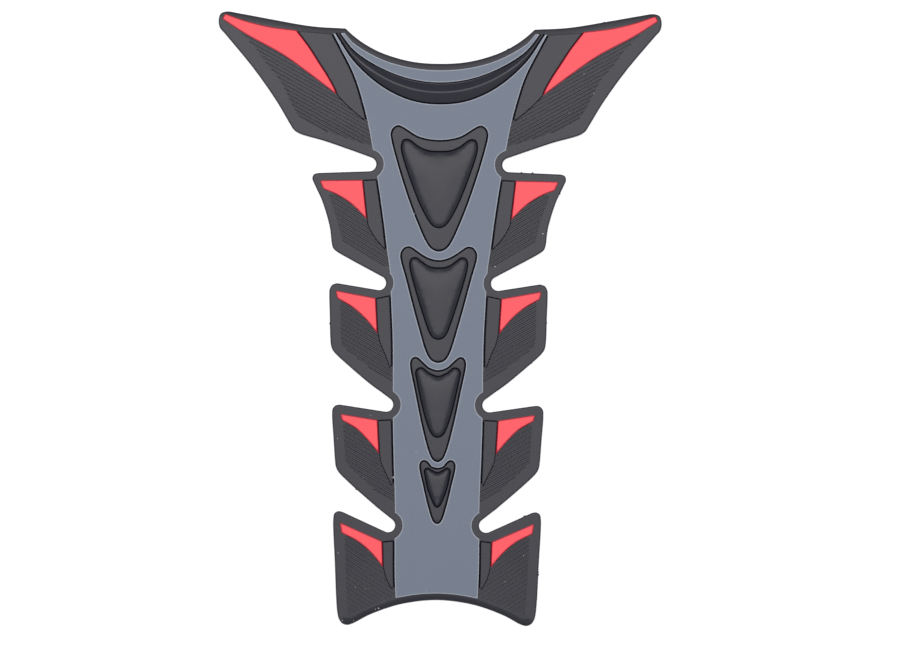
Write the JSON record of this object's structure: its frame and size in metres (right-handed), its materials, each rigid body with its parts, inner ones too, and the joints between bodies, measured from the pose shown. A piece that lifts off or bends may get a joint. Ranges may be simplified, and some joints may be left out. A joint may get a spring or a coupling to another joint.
{
  "type": "motorcycle tank pad",
  "caption": "Soft moulded fuel-tank pad: winged head, swept side fins with open notches, diagonal ribs, and a raised centre panel with domed arrowheads.",
  "frame": {"origin": "on the flat back face, in the middle of the pad's length and width", "axes": "+X to the right across the wings, +Y along the pad towards the winged head, +Z out of the patterned face"},
  "size_m": [0.1554, 0.215, 0.003],
  "materials": {
    "black_pvc": "matt moulded soft PVC, fine even grain",
    "grey_pvc": "matt moulded soft PVC, smooth",
    "red_pvc": "matt moulded soft PVC, smooth, bright coral red"
  },
  "bodies": {
    "root": {"black_moulding": "black_pvc", "grey_centre_panel": "grey_pvc", "grey_collar_band": "grey_pvc", "red_wing_right": "red_pvc", "red_wing_left": "red_pvc", "red_second_fin_right": "red_pvc", "red_second_fin_left": "red_pvc", "red_third_fin_right": "red_pvc", "red_third_fin_left": "red_pvc", "red_fourth_fin_right": "red_pvc", "red_fourth_fin_left": "red_pvc", "red_foot_fin_right": "red_pvc", "red_foot_fin_left": "red_pvc"}
  },
  "joints": []
}
